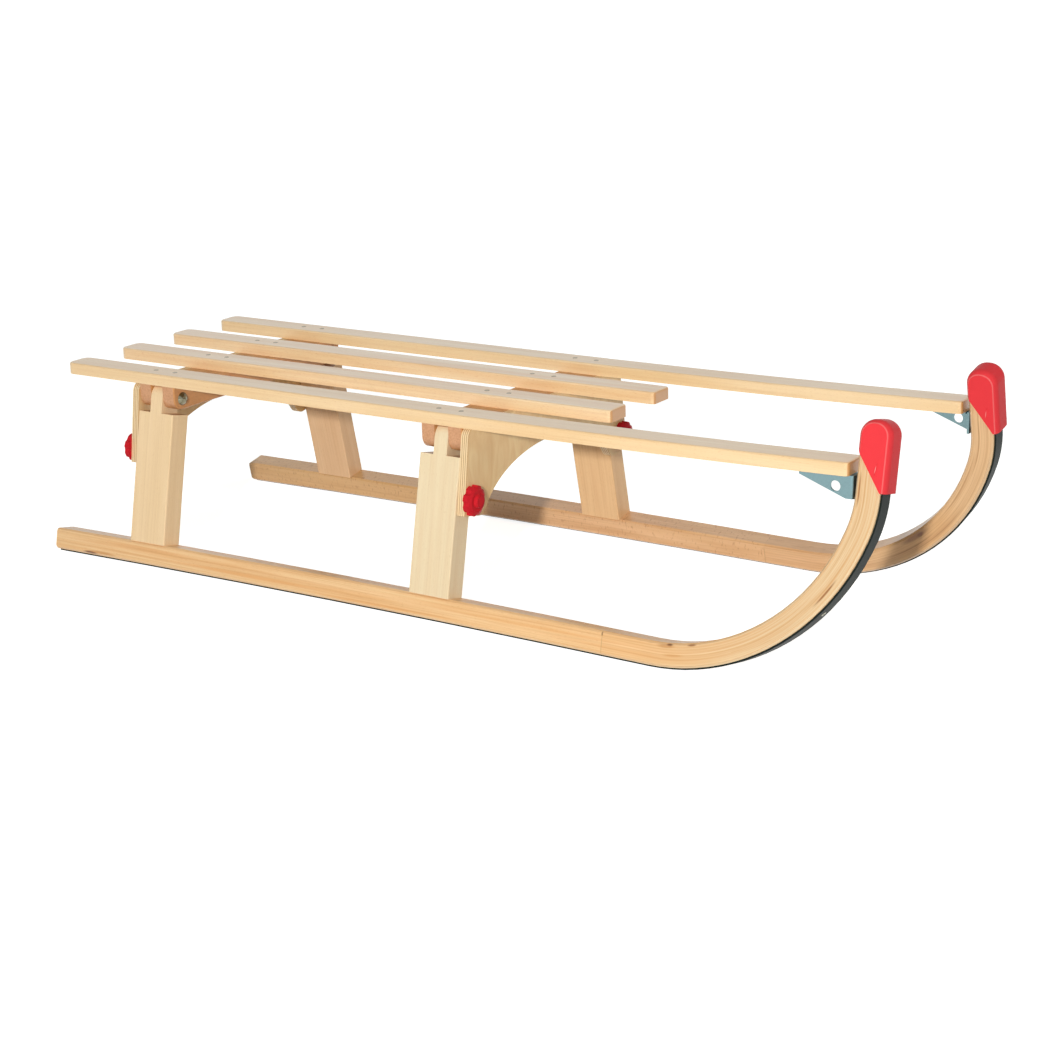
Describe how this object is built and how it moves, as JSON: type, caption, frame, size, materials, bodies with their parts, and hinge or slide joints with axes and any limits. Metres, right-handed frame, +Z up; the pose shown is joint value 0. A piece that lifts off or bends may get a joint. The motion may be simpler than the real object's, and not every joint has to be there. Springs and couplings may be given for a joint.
{
  "type": "folding wooden sled",
  "caption": "Folding beech sled: slatted seat on bent runners with steel shoes, plywood arch boards, star knobs and horn caps; each side swings out flat.",
  "frame": {"origin": "on the ground, under the middle of the sled's overall box", "axes": "+X forwards, towards the horns; +Y to the sled's left; +Z up"},
  "size_m": [1.1, 0.405, 0.2831],
  "materials": {
    "slat_wood": "beech, clear lacquer, satin",
    "beam_wood": "beech, clear lacquer, satin",
    "post_wood": "beech, clear lacquer, satin",
    "runner_wood": "bent laminated beech, clear lacquer, satin",
    "plywood": "birch plywood, clear lacquer, bare edges",
    "shoe_steel": "hot rolled strip steel, dark, worn underneath",
    "bracket_steel": "zinc plated sheet steel",
    "bolt_steel": "zinc plated, dulled",
    "screw_steel": "zinc plated",
    "red_plastic": "moulded, glossy"
  },
  "bodies": {
    "seat": {"left_rail": "slat_wood", "right_rail": "slat_wood", "left_inner_slat": "slat_wood", "right_inner_slat": "slat_wood", "rear_crossbeam": "beam_wood", "front_crossbeam": "beam_wood", "rear_arch_board": "plywood", "front_arch_board": "plywood", "left_rear_pivot_bolt": "bolt_steel", "left_rear_knob": "red_plastic", "left_front_pivot_bolt": "bolt_steel", "left_front_knob": "red_plastic", "left_bracket": "bracket_steel", "right_rear_pivot_bolt": "bolt_steel", "right_rear_knob": "red_plastic", "right_front_pivot_bolt": "bolt_steel", "right_front_knob": "red_plastic", "right_bracket": "bracket_steel"},
    "left_side": {"left_rear_post": "post_wood", "left_front_post": "post_wood", "left_runner": "runner_wood", "left_shoe": "shoe_steel", "left_horn_cap": "red_plastic", "left_bracket_screw": "screw_steel"},
    "right_side": {"right_rear_post": "post_wood", "right_front_post": "post_wood", "right_runner": "runner_wood", "right_shoe": "shoe_steel", "right_horn_cap": "red_plastic", "right_bracket_screw": "screw_steel"}
  },
  "joints": [
    {"name": "left_side_fold", "type": "hinge", "parent": "seat", "child": "left_side", "pos_m": [0.02, 0.1455, 0.20522], "axis": [1, 0, 0], "range_deg": [0, 79]},
    {"name": "right_side_fold", "type": "hinge", "parent": "seat", "child": "right_side", "pos_m": [0.02, -0.1455, 0.20522], "axis": [-1, 0, 0], "range_deg": [0, 79]}
  ]
}
